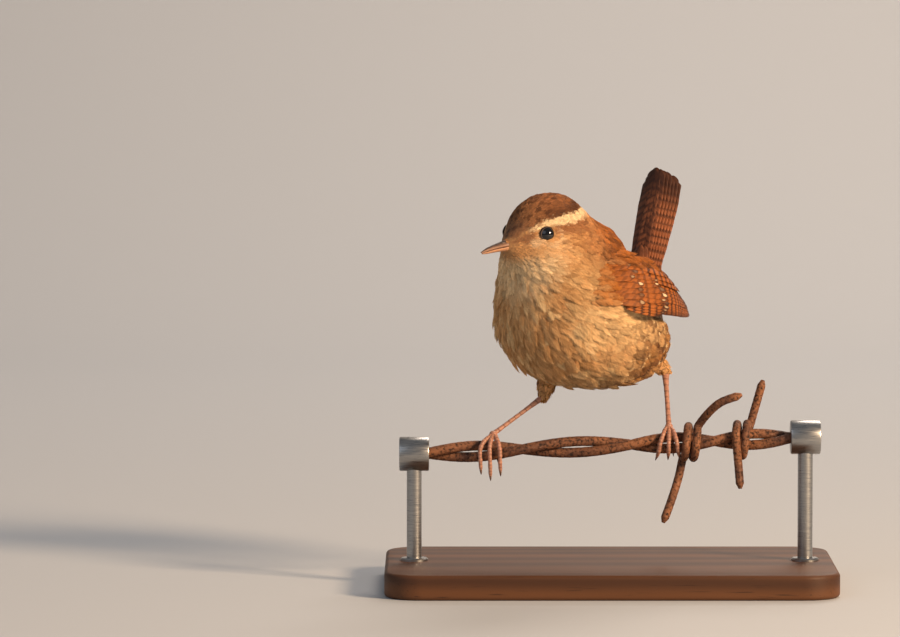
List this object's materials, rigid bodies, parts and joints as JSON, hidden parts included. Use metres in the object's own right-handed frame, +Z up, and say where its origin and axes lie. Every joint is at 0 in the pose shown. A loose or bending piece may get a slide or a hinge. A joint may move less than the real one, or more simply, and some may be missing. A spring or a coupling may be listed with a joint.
{
  "type": "wren model",
  "caption": "Life-size wren with cocked tail, gripping a short length of twisted barbed wire held by two rods on a flat display base.",
  "frame": {"origin": "centre of the underside of the display base", "axes": "+X along the wire and the long side of the base, +Y away from the viewer the bird half faces, +Z up"},
  "size_m": [0.108, 0.066, 0.0989],
  "materials": {
    "crown_feathers": "soft small feathers, warm brown with darker edges",
    "body_feathers": "loose fluffed feathers, warm buff, barred brown on the flanks",
    "wing_feathers": "overlapping stiff vanes, rusty brown with dark bars and pale tips",
    "tail_feathers": "overlapping stiff vanes, rusty brown with dark bars",
    "bill_horn": "smooth dark horn",
    "bill_pale": "smooth pale flesh-coloured horn",
    "eye": "very dark brown, wet shine",
    "leg_scales": "pinkish brown scaled skin",
    "rusty_wire": "weathered steel wire, brown rust",
    "stand_wood": "dark oiled walnut",
    "stand_steel": "satin steel rod"
  },
  "bodies": {
    "root": {"head": "crown_feathers", "neck": "body_feathers", "torso": "body_feathers", "bill_upper": "bill_horn", "bill_lower": "bill_pale", "eye_left": "eye", "eye_right": "eye", "wing_left": "wing_feathers", "wing_right": "wing_feathers", "tail": "tail_feathers", "thigh_left": "body_feathers", "thigh_right": "body_feathers", "tarsus_left": "leg_scales", "tarsus_right": "leg_scales", "foot_left": "leg_scales", "foot_right": "leg_scales", "wire_strand_1": "rusty_wire", "wire_strand_2": "rusty_wire", "barb_1": "rusty_wire", "barb_2": "rusty_wire", "stand_base": "stand_wood", "stand_rod_left": "stand_steel", "stand_rod_right": "stand_steel"}
  },
  "joints": []
}
